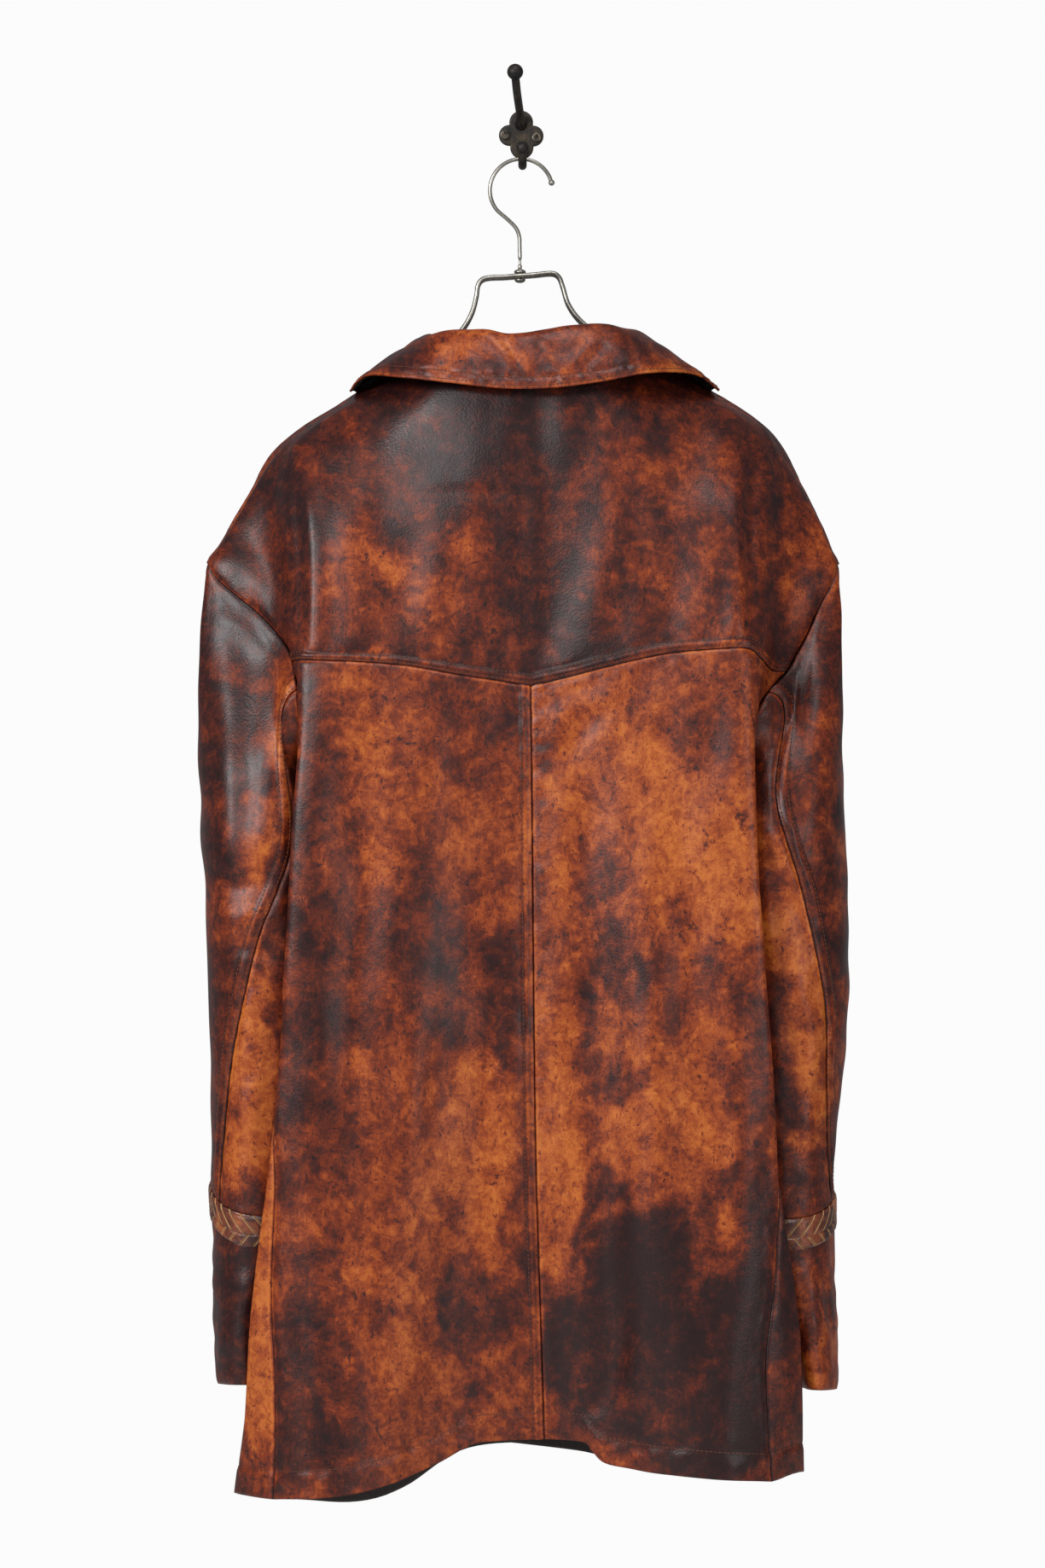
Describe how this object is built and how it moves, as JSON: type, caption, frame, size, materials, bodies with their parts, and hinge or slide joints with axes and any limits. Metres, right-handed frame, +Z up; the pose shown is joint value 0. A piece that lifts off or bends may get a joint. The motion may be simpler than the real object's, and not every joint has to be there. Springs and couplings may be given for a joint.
{
  "type": "leather coat on a hanger",
  "caption": "Hip-length worn leather coat with a turned-down collar, V-seamed back yoke and plaited bands above the cuffs, hung on a two-rod steel hanger from a cast wall hook",
  "frame": {"origin": "the middle of the wall hook's back face, where it lies on the wall", "axes": "+X to the right as the coat's back is seen from the room, +Y into the wall, +Z up"},
  "size_m": [0.5054, 0.1484, 1.1249],
  "materials": {
    "leather": "glossy, marbled orange tan and dark red brown",
    "plait": "dark straps with raw tan edges",
    "button": "dark horn-like",
    "steel": "dull plated",
    "iron": "dark with brown worn edges"
  },
  "bodies": {
    "root": {"back_yoke": "leather", "back_left": "leather", "back_right": "leather", "front_left": "leather", "front_right": "leather", "sleeve_top_left": "leather", "sleeve_under_left": "leather", "sleeve_top_right": "leather", "sleeve_under_right": "leather", "braid_left": "plait", "braid_right": "plait", "cuff_left": "leather", "cuff_right": "leather", "collar_fall": "leather", "collar_stand": "leather", "button_1": "button", "button_2": "button", "button_3": "button", "button_4": "button", "hanger_frame": "steel", "hanger_ferrule": "steel", "hanger_hook": "steel", "wall_hook": "iron", "screw_left": "iron", "screw_right": "iron"}
  },
  "joints": []
}
